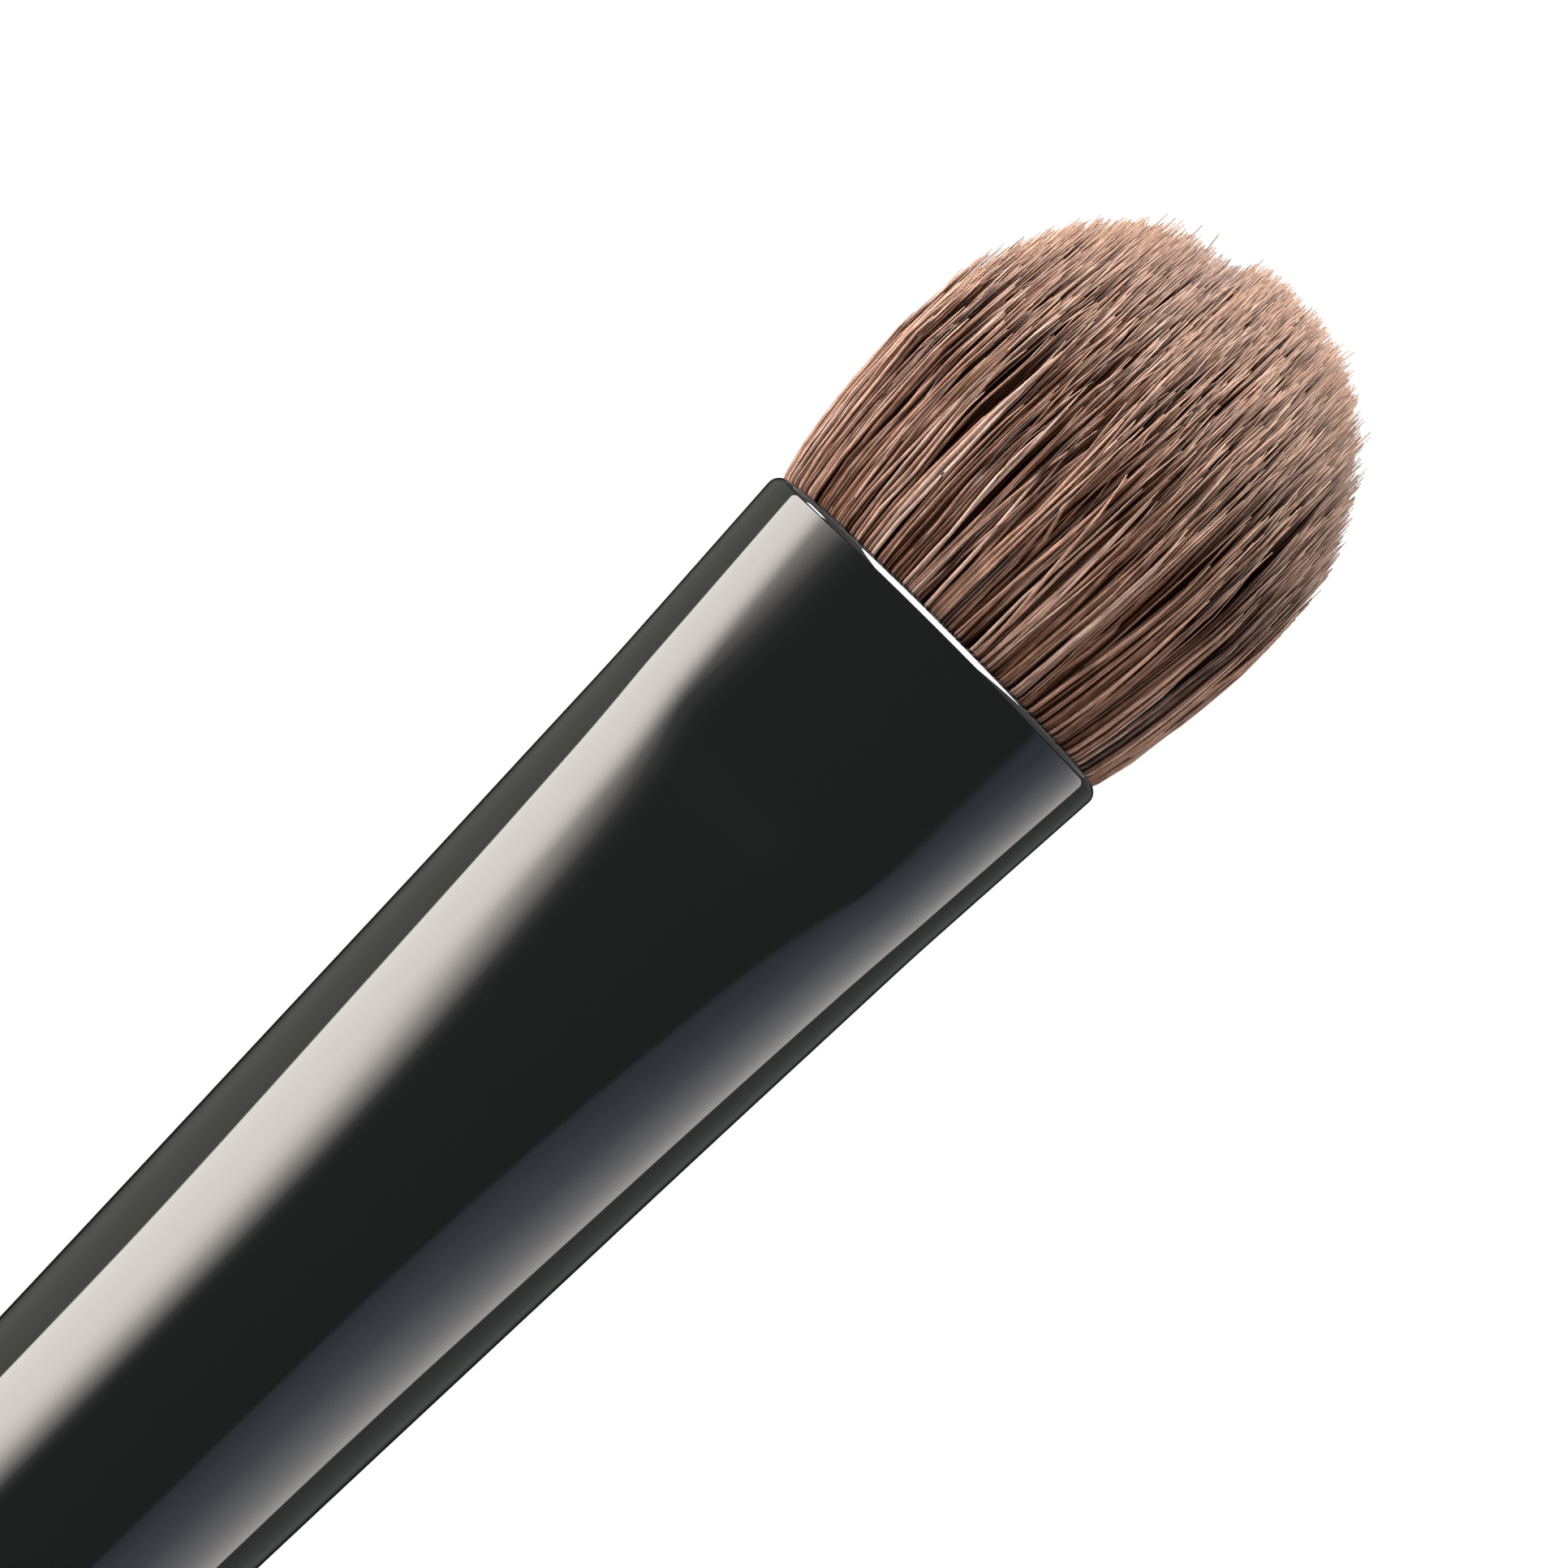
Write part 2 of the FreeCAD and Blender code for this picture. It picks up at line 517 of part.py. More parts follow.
os.makedirs("parts", exist_ok=True)
for part in parts:
    part.Shape.exportStep(f"parts/{part.Label}.step")
    box = part.Shape.optimalBoundingBox()
    print(f"{part.Label}: {len(part.Shape.Solids)} solid, {part.Shape.Volume:.2f} mm3,"
          f" z {box.ZMin:.2f} to {box.ZMax:.2f}, {box.XLength:.2f} x {box.YLength:.2f}")
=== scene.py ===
"""Eyeshadow brush: a lacquered handle, a pressed ferrule in the same black gloss, and a domed tuft of
brown hair whose strands run from the tied roots to the tips.
"""

import math

import bmesh
import bpy
import numpy as np
from mathutils import Matrix, Vector


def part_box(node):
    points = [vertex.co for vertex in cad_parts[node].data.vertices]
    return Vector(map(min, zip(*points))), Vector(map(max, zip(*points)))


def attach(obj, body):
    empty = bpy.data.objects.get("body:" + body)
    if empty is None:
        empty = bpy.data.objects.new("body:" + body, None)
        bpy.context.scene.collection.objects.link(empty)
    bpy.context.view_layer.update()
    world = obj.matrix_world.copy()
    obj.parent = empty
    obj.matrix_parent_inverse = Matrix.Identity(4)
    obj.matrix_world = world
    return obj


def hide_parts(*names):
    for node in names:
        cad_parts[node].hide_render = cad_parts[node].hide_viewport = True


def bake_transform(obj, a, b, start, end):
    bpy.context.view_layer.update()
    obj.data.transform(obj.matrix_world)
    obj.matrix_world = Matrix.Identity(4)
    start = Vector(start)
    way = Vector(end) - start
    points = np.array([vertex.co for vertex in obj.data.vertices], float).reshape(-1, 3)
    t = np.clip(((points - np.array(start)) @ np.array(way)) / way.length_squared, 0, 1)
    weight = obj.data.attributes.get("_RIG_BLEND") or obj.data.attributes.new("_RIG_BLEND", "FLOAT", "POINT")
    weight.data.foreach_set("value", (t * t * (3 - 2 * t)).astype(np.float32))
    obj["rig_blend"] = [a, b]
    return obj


bl_info = {
    "name": "Eyeshadow Brush",
    "version": (1, 0, 0),
    "blender": (4, 5, 0),
    "location": "View3D > Sidebar > Brush",
    "description": "Builds an eyeshadow brush, piece by piece, round its CAD frame",
    "category": "Object",
}

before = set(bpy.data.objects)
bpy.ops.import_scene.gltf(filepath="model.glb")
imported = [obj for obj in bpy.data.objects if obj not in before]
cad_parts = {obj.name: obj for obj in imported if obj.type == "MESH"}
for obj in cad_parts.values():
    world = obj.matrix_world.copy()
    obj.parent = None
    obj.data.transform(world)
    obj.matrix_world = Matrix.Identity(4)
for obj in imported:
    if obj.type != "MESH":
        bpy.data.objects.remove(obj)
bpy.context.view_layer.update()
MM = 0.001
FERRULE_LOW, FERRULE_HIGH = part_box("ferrule")
HANDLE_LOW, HANDLE_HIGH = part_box("handle")
TUFT_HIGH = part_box("hair_tuft")[1]
THREAD_LOW, THREAD_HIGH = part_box("binding_thread")
MOUTH_Z = FERRULE_HIGH.z
PHOTO_SIZE = (1931, 1932)

# Ferrule from the mouth down, in mm and degrees: depth, half width, half thickness, corner angle.
FERRULE_SECTIONS = (
    (0.0, 5.525, 3.25, 22.9),
    (5.0, 5.217, 3.28, 19.8),
    (6.0, 5.16, 3.31, 19.0),
    (7.3, 5.105, 3.54, 20.4),
    (9.2, 5.03, 3.77, 23.0),
    (12.2, 4.91, 3.975, 25.8),
    (16.8, 4.745, 4.255, 33.0),
    (24.0, 4.49, 4.49, 45.0),
    (28.5, 4.339, 4.339, 45.0),
    (33.0, 4.2, 4.2, 45.0),
)

# Bundle of hair from the root ends up, in mm: height over the mouth, half width, half thickness.
BUNDLE_SECTIONS = (
    (-23.0, 3.0, 3.0),
    (-14.6, 3.0, 3.0),
    (-6.0, 4.6, 2.75),
    (-0.6, 5.0, 2.7),
    (0.15, 5.32, 2.74),
    (0.63, 5.47, 2.82),
    (2.6, 5.8, 3.08),
    (4.7, 6.04, 3.34),
    (7.0, 6.02, 3.36),
    (9.5, 5.87, 3.2),
    (12.5, 5.6, 2.8),
)


def linear(hex_colour):
    """An sRGB hex colour as linear RGBA."""
    channels = [int(hex_colour[i:i + 2], 16) / 255 for i in (1, 3, 5)]
    return tuple(c / 12.92 if c <= 0.04045 else ((c + 0.055) / 1.055) ** 2.4
                 for c in channels) + (1.0,)


def grey(level):
    """An even linear grey as RGBA."""
    return level, level, level, 1.0


def add_node(tree, kind, settings=None, links=None):
    """A new node: settings name its properties, input sockets or ramp stops, and links feed it."""
    node = tree.nodes.new(kind)
    for key, value in (settings or {}).items():
        if key == "stops":
            ramp = node.color_ramp.elements
            while len(ramp) < len(value):
                ramp.new(1.0)
            for element, (position, colour) in zip(ramp, value):
                element.position = position
                element.color = colour
        elif isinstance(key, int) or key in node.inputs:
            node.inputs[key].default_value = value
        else:
            setattr(node, key, value)
    for key, (source, output) in (links or {}).items():
        tree.links.new(source.outputs[output], node.inputs[key])
    return node


def new_material(name):
    """A material with an empty node tree, and that tree."""
    material = bpy.data.materials.new(name)
    material.use_nodes = True
    material.node_tree.nodes.clear()
    return material, material.node_tree


def spline_through(knots, values):
    """A natural cubic through the values, as a function of the knots' own coordinate."""
    x = np.array(knots, float)
    y = np.array(values, float)
    step = np.diff(x)
    system = np.eye(len(x))
    right = np.zeros(len(x))
    for i in range(1, len(x) - 1):
        system[i, i - 1:i + 2] = step[i - 1], 2 * (step[i - 1] + step[i]), step[i]
        right[i] = 6 * ((y[i + 1] - y[i]) / step[i] - (y[i] - y[i - 1]) / step[i - 1])
    bend = np.linalg.solve(system, right)

    def at(position):
        i = min(max(int(np.searchsorted(x, position)) - 1, 0), len(x) - 2)
        back = (x[i + 1] - position) / step[i]
        ahead = 1 - back
        curve = (back ** 3 - back) * bend[i] + (ahead ** 3 - ahead) * bend[i + 1]
        return back * y[i] + ahead * y[i + 1] + curve * step[i] ** 2 / 6

    return at


def add_piece(name, mesh, material):
    """A finished mesh, in the frame's own place, as a smooth object with its finish."""
    mesh.shade_smooth()
    mesh.materials.append(material)
    piece = bpy.data.objects.new(name, mesh)
    bpy.context.scene.collection.objects.link(piece)
    return piece


def mesh_from(name, bm):
    """The bmesh as a mesh, with its faces turned outwards."""
    bmesh.ops.recalc_face_normals(bm, faces=bm.faces)
    mesh = bpy.data.meshes.new(name)
    bm.to_mesh(mesh)
    bm.free()
    return mesh


# Black lacquer, sprayed and polished to a high gloss: mirror-like with the faint waver of sprayed
# coats, and a light haze of handling that only shows as slightly softer patches in the reflections.
def black_lacquer(name, colour):
    crest = 1.6 * MM  # from crest to crest of the waver
    patch = 5.0 * MM  # across a patch of haze
    material, tree = new_material(name)
    place = add_node(tree, "ShaderNodeTexCoord")
    peel = add_node(tree, "ShaderNodeTexNoise", {"Scale": 1 / crest, "Detail": 1.0},
                    {"Vector": (place, "Object")})
    haze = add_node(tree, "ShaderNodeTexNoise", {"Scale": 1 / patch, "Detail": 4.0},
                    {"Vector": (place, "Object")})
    gloss = add_node(tree, "ShaderNodeMapRange",
                     {"From Min": 0.35, "From Max": 0.75, "To Min": 0.012, "To Max": 0.035},
                     {"Value": (haze, "Fac")})
    waver = add_node(tree, "ShaderNodeBump", {"Strength": 0.05, "Distance": 0.02 * MM},
                     {"Height": (peel, "Fac")})
    shader = add_node(tree, "ShaderNodeBsdfPrincipled", {"Base Color": colour, "IOR": 1.5},
                      {"Roughness": (gloss, "Result"), "Normal": (waver, "Normal")})
    add_node(tree, "ShaderNodeOutputMaterial", links={"Surface": (shader, "BSDF")})
    return material


# Natural brown hair, dressed and set in a dome: every strand has its own brown, painted nearly black
# deep in the bundle and a little darker at the foot as painted shade, and painted paler at its tip for
# light that shines through it. Broken glints run along the outer strands, partly painted highlights in
# the colour and partly flecks of shine; painted shade takes the shine off those deep inside. The
# strand's UV map holds its tint as X and its painted shading, from buried to tip, as Y.
def brown_hair(name, colours):
    fleck = 0.11 * MM  # across a fleck, about one hair
    fleck_stretch = 0.18  # flecks along a hair for one across it
    material, tree = new_material(name)
    strand = add_node(tree, "ShaderNodeUVMap", {"uv_map": "strand"})
    parts = add_node(tree, "ShaderNodeSeparateXYZ", links={"Vector": (strand, "UV")})
    shade = add_node(tree, "ShaderNodeValToRGB", {"stops": (
        (0.0, colours.hair_deep), (0.22, colours.hair_dark), (0.5, colours.hair_brown),
        (0.75, colours.hair_light), (1.0, colours.hair_pale))}, {"Fac": (parts, "X")})
    # Painted shade: the colour is multiplied down to nearly black for strands buried in the bundle.
    depth = add_node(tree, "ShaderNodeValToRGB", {"stops": (
        (0.0, (0.012, 0.005, 0.003, 1.0)), (0.35, (0.2, 0.14, 0.11, 1.0)), (0.7, grey(1.0)))},
        {"Fac": (parts, "Y")})
    # The strand's own brown, darkened by the painted shade.
    painted_shade_colour = add_node(tree, "ShaderNodeMix", {"data_type": "RGBA", "blend_type": "MULTIPLY", 0: 1.0},
                     {6: (shade, "Color"), 7: (depth, "Color")})
    # Painted light: towards the tip the colour turns paler, for light shining through the thin ends.
    tip = add_node(tree, "ShaderNodeMapRange",
                   {"From Min": 0.7, "From Max": 1.0, "To Max": 0.8}, {"Value": (parts, "Y")})
    painted_tip_colour = add_node(tree, "ShaderNodeMix", {"data_type": "RGBA", 7: colours.hair_tip_painted_light},
                    {0: (tip, "Result"), 6: (painted_shade_colour, 2)})
    place = add_node(tree, "ShaderNodeTexCoord")
    drawn = add_node(tree, "ShaderNodeMapping", {"Scale": (1.0, 1.0, fleck_stretch)},
                     {"Vector": (place, "Object")})
    glint_noise = add_node(tree, "ShaderNodeTexNoise", {"Scale": 1 / fleck, "Detail": 1.0},
                      {"Vector": (drawn, "Vector")})
    # Painted highlights: the colour is made lighter and darker in flecks along the hairs, as broken glints.
    painted_glint = add_node(tree, "ShaderNodeMapRange",
                     {"From Min": 0.3, "From Max": 0.7, "To Min": 0.75, "To Max": 1.2},
                     {"Value": (glint_noise, "Fac")})
    painted_glint_colour = add_node(tree, "ShaderNodeVectorMath", {"operation": "SCALE"},
                      {0: (painted_tip_colour, 2), "Scale": (painted_glint, "Result")})
    flecks = add_node(tree, "ShaderNodeMapRange", {"From Min": 0.36, "From Max": 0.7, "To Min": 0.35},
                      {"Value": (glint_noise, "Fac")})
    # Painted shade on the shine: the buried strands get none, and the outer strands get the most.
    outside = add_node(tree, "ShaderNodeValToRGB", {"stops": (
        (0.46, grey(0.0)), (0.66, grey(0.55)), (0.8, grey(0.3)), (1.0, grey(0.12)))},
        {"Fac": (parts, "Y")})
    shine = add_node(tree, "ShaderNodeMath", {"operation": "MULTIPLY"},
                     {0: (flecks, "Result"), 1: (outside, "Color")})
    shader = add_node(tree, "ShaderNodeBsdfPrincipled", {"Roughness": 0.4, "IOR": 1.55},
                      {"Base Color": (painted_glint_colour, "Vector"), "Specular IOR Level": (shine, "Value")})
    add_node(tree, "ShaderNodeOutputMaterial", links={"Surface": (shader, "BSDF")})
    return material


# Cotton thread, waxed and wound: matt off-white with the slant of its twist, and painted shade in
# the twist's grooves.
def waxed_thread(name, colour):
    slope = 0.2 * MM  # along the thread for one radian of its twist, a whole turn every 1.26 mm
    wave_radians = 20  # what a wave texture turns through in one unit of its scale
    material, tree = new_material(name)
    place = add_node(tree, "ShaderNodeTexCoord")
    slant = add_node(tree, "ShaderNodeMapping", {"Rotation": (0.0, math.radians(35), 0.0)},
                     {"Vector": (place, "Object")})
    twist = add_node(tree, "ShaderNodeTexWave",
                     {"bands_direction": "Z", "Scale": 1 / slope / wave_radians, "Distortion": 1.5},
                     {"Vector": (slant, "Vector")})
    # Painted shade: grey-brown where the twist's grooves sink.
    groove_shaded_yarn = add_node(tree, "ShaderNodeMix", {"data_type": "RGBA", 6: linear("#8f887a"), 7: colour},
                    {0: (twist, "Fac")})
    ridge = add_node(tree, "ShaderNodeBump", {"Strength": 0.4, "Distance": 0.03 * MM},
                     {"Height": (twist, "Fac")})
    shader = add_node(tree, "ShaderNodeBsdfPrincipled", {"Roughness": 0.7},
                      {"Base Color": (groove_shaded_yarn, 2), "Normal": (ridge, "Normal")})
    add_node(tree, "ShaderNodeOutputMaterial", links={"Surface": (shader, "BSDF")})
    return material


# Epoxy, poured and cured: a clear amber with small bubbles and a glassy skin.
def cast_epoxy(name, colour):
    bubble = 0.9 * MM  # from bubble to bubble
    material, tree = new_material(name)
    place = add_node(tree, "ShaderNodeTexCoord")
    bubbles = add_node(tree, "ShaderNodeTexVoronoi", {"Scale": 1 / bubble},
                       {"Vector": (place, "Object")})
    pits = add_node(tree, "ShaderNodeMapRange", {"From Min": 0.05, "From Max": 0.2},
                    {"Value": (bubbles, "Distance")})
    clouded = add_node(tree, "ShaderNodeMix", {"data_type": "RGBA", 6: linear("#e6c58a"), 7: colour},
                       {0: (pits, "Result")})
    skin = add_node(tree, "ShaderNodeBump", {"Strength": 0.3, "Distance": 0.05 * MM},
                    {"Height": (pits, "Result")})
    shader = add_node(tree, "ShaderNodeBsdfPrincipled", {"Roughness": 0.15, "IOR": 1.55},
                      {"Base Color": (clouded, 2), "Normal": (skin, "Normal")})
    add_node(tree, "ShaderNodeOutputMaterial", links={"Surface": (shader, "BSDF")})
    return material


class BrushSizes(bpy.types.PropertyGroup):
    """Sizes of the finished brush that the frame leaves open."""
    lip_radius: bpy.props.FloatProperty(
        name="Lip radius", description="Rounded outer edge of the ferrule's mouth",
        default=0.33 * MM, unit="LENGTH")
    wall: bpy.props.FloatProperty(
        name="Wall", description="Wall of the ferrule's tube", default=0.4 * MM, unit="LENGTH")
    crimp_sink: bpy.props.FloatProperty(
        name="Crimp depth", description="How deep each crimp ring is rolled into the barrel",
        default=0.3 * MM, unit="LENGTH")
    hair_count: bpy.props.IntProperty(
        name="Hairs", description="Strands in the whole tuft", default=7600, min=600)
    hair_thickness: bpy.props.FloatProperty(
        name="Hair thickness", description="Diameter of an ordinary hair", default=0.09 * MM,
        unit="LENGTH")
    dome_height: bpy.props.FloatProperty(
        name="Dome height", description="Hair above the mouth, to the top of the dome",
        default=TUFT_HIGH.z - MOUTH_Z, unit="LENGTH")
    shoulder_height: bpy.props.FloatProperty(
        name="Shoulder height", description="Where the shortest hairs end, above the mouth",
        default=4.75 * MM, unit="LENGTH")
    thread_diameter: bpy.props.FloatProperty(
        name="Thread diameter", description="Thread that ties the roots", default=0.3 * MM,
        unit="LENGTH")


class BrushColours(bpy.types.PropertyGroup):
    """Colours of the brush's finishes."""
    lacquer: bpy.props.FloatVectorProperty(
        name="Lacquer", description="Black gloss of handle and ferrule", subtype="COLOR", size=4,
        default=linear("#0b0c0c"))
    hair_deep: bpy.props.FloatVectorProperty(
        name="Darkest hair", description="The few nearly black hairs", subtype="COLOR", size=4,
        default=linear("#32180f"))
    hair_dark: bpy.props.FloatVectorProperty(
        name="Dark hair", description="Dark brown hairs", subtype="COLOR", size=4,
        default=linear("#694330"))
    hair_brown: bpy.props.FloatVectorProperty(
        name="Brown hair", description="Most of the hairs", subtype="COLOR", size=4,
        default=linear("#9f735d"))
    hair_light: bpy.props.FloatVectorProperty(
        name="Light hair", description="Light brown hairs", subtype="COLOR", size=4,
        default=linear("#c49a84"))
    hair_pale: bpy.props.FloatVectorProperty(
        name="Pale hair", description="The few fair hairs", subtype="COLOR", size=4,
        default=linear("#d0ae9d"))
    # The tips' colour, painted paler for light that shines through the thin ends.
    hair_tip_painted_light: bpy.props.FloatVectorProperty(
        name="Hair tips", description="Worn tips of the hairs", subtype="COLOR", size=4,
        default=linear("#e6bb9e"))
    thread: bpy.props.FloatVectorProperty(
        name="Thread", description="Waxed binding thread", subtype="COLOR", size=4,
        default=linear("#d9d2c3"))
    epoxy: bpy.props.FloatVectorProperty(
        name="Epoxy", description="Cast epoxy round the roots", subtype="COLOR", size=4,
        default=linear("#c08a3e"))


class BRUSH_OT_turn_handle(bpy.types.Operator):
    """Turn the handle: tenon, shoulder, one long curve and a ball tail"""
    bl_idname = "makeup_brush.turn_handle"
    bl_label = "Turn Handle"

    tail_radius = 2.5 * MM
    tenon_step = 0.45 * MM
    tenon_chamfer = 0.6 * MM
    seam_chamfer = 0.15 * MM
    curve_points, ball_points, sides = 60, 16, 128
    weld = 0.002 * MM

    def execute(self, context):
        colours = context.scene.brush_colours
        edge = HANDLE_HIGH.x
        tail = self.tail_radius
        tenon = edge - self.tenon_step
        chamfer = self.tenon_chamfer
        seam = self.seam_chamfer
        shoulder_z = FERRULE_LOW.z
        curve_z = shoulder_z - seam
        ball_z = HANDLE_LOW.z + tail
        run = curve_z - ball_z
        sweep = (run ** 2 + edge ** 2 - tail ** 2) / (2 * (edge - tail))
        turn = math.asin(run / (sweep - tail))
        outline = [(0.0, HANDLE_HIGH.z), (tenon - chamfer, HANDLE_HIGH.z),
                   (tenon, HANDLE_HIGH.z - chamfer), (tenon, shoulder_z), (edge - seam, shoulder_z)]
        outline += [(edge - sweep * (1 - math.cos(a)), curve_z - sweep * math.sin(a))
                    for a in np.linspace(0, turn, self.curve_points)]
        outline += [(tail * math.cos(a), ball_z - tail * math.sin(a))
                    for a in np.linspace(turn, math.pi / 2, self.ball_points)[1:]]

        bm = bmesh.new()
        verts = [bm.verts.new((x, 0.0, z)) for x, z in outline]
        edges = [bm.edges.new(pair) for pair in zip(verts, verts[1:])]
        bmesh.ops.spin(bm, geom=verts + edges, axis=(0, 0, 1), cent=(0, 0, 0),
                       angle=2 * math.pi, steps=self.sides, use_merge=True)
        bmesh.ops.remove_doubles(bm, verts=bm.verts, dist=self.weld)
        handle = add_piece("lacquered_handle", mesh_from("lacquered_handle", bm),
                           black_lacquer("black_lacquer_on_turned_wood", colours.lacquer))
        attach(handle, "brush")
        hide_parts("handle")
        return {"FINISHED"}


class BRUSH_OT_press_ferrule(bpy.types.Operator):
    """Press the ferrule: rolled lip, oval mouth, change to round, barrel with two crimps"""
    bl_idname = "makeup_brush.press_ferrule"
    bl_label = "Press Ferrule"

    # In mm: crimps by their height over the barrel's end and the radius of the crimping roll, the
    # broken edges of that end, and the depths of the rings in plain stretches, beside plain counts.
    crimp_heights = (2.0, 4.5)
    crimp_roll = 0.55
    crimp_rings = 15
    outer_break, outer_break_inset = 0.05, 0.06
    inner_break, inner_break_inset = 0.1, 0.05
    inner_lip_share = 0.8
    lip_rings, blank_rings, sides = 9, 90, 192
    barrel_rings = (34.0, 36.0, 38.0)
    inside_rings = (33.0, 29.0, 24.0, 20.0, 16.0, 12.0, 9.0, 6.0, 3.0, 1.0)

    def rings(self, sizes):
        """Depth below the mouth and inset from the outer form, once round the tube's wall, in mm."""
        lip = sizes.lip_radius / MM
        wall = sizes.wall / MM
        inner_lip = (wall - lip) * self.inner_lip_share
        length = (FERRULE_HIGH.z - FERRULE_LOW.z) / MM
        barrel = FERRULE_SECTIONS[-1][0]
        crimps = [length - height for height in self.crimp_heights]
        roll = self.crimp_roll

        def sink(depth):
            centre = roll - sizes.crimp_sink / MM
            reach = max(roll ** 2 - min((depth - c) ** 2 for c in crimps), 0.0)
            return max(math.sqrt(reach) - centre, 0.0)

        body = list(np.linspace(lip, barrel, self.blank_rings)) + list(self.barrel_rings)
        body += [c + s for c in reversed(crimps) for s in np.linspace(-roll, roll, self.crimp_rings)]
        body += [length - self.outer_break]
        turn = np.linspace(0, math.pi / 2, self.lip_rings)
        rings = [(lip - lip * math.sin(a), lip - lip * math.cos(a)) for a in reversed(turn[1:])]
        rings += [(depth, sink(depth)) for depth in sorted(body)]
        rings += [(length, self.outer_break_inset), (length, wall - self.inner_break_inset),
                  (length - self.inner_break, wall)]
        rings += [(depth, wall + sink(depth)) for depth in sorted(body, reverse=True) if depth > barrel]
        rings += [(depth, wall) for depth in self.inside_rings]
        rings += [(inner_lip - inner_lip * math.sin(a), wall - inner_lip + inner_lip * math.cos(a))
                  for a in turn]
        return rings

    def execute(self, context):
        sizes = context.scene.brush_sizes
        depths = [row[0] for row in FERRULE_SECTIONS]
        width, thickness, corner = (
            spline_through(depths, [row[column] for row in FERRULE_SECTIONS])
            for column in (1, 2, 3))

        def shape(ring, turn_layer, depth, inset):
            """Lay a ring of vertices on the oval section at a depth, by each vertex's normal angle."""
            at = min(depth, depths[-1])
            half_width, half_thickness = width(at), thickness(at)
            angle = math.radians(corner(at))
            sine, cosine = math.sin(angle), math.cos(angle)
            end = (half_thickness * sine - half_width * (1 - cosine)) / (sine + cosine - 1)
            face = (half_width - end * (1 - sine)) / sine
            for vert in ring:
                out_x, out_y = math.cos(vert[turn_layer]), math.sin(vert[turn_layer])
                if abs(out_x) <= sine:
                    x = face * out_x
                    y = face * out_y + math.copysign(1.0, out_y) * (half_thickness - face)
                else:
                    x = end * out_x + math.copysign(1.0, out_x) * (half_width - end)
                    y = end * out_y
                vert.co = Vector((x - inset * out_x, y - inset * out_y, -depth)) * MM
                vert.co.z += MOUTH_Z

        rings = self.rings(sizes)
        bm = bmesh.new()
        turn_layer = bm.verts.layers.float.new("turn")
        ring = bmesh.ops.create_circle(bm, segments=self.sides, radius=1.0)["verts"]
        for vert in ring:
            vert[turn_layer] = math.atan2(vert.co.y, vert.co.x)
        edges = list(bm.edges)
        first = edges
        shape(ring, turn_layer, *rings[0])
        for depth, inset in rings[1:]:
            grown = bmesh.ops.extrude_edge_only(bm, edges=edges)["geom"]
            ring = [item for item in grown if isinstance(item, bmesh.types.BMVert)]
            fresh = set(ring)
            edges = [item for item in grown if isinstance(item, bmesh.types.BMEdge)
                     and all(vert in fresh for vert in item.verts)]
            shape(ring, turn_layer, depth, inset)
        bmesh.ops.bridge_loops(bm, edges=first + edges)
        bm.verts.layers.float.remove(turn_layer)
        ferrule = add_piece("lacquered_ferrule", mesh_from("lacquered_ferrule", bm),
                            black_lacquer("black_lacquer_on_pressed_aluminium",
                                          context.scene.brush_colours.lacquer))
        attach(ferrule, "brush")
        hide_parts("ferrule")
        return {"FINISHED"}


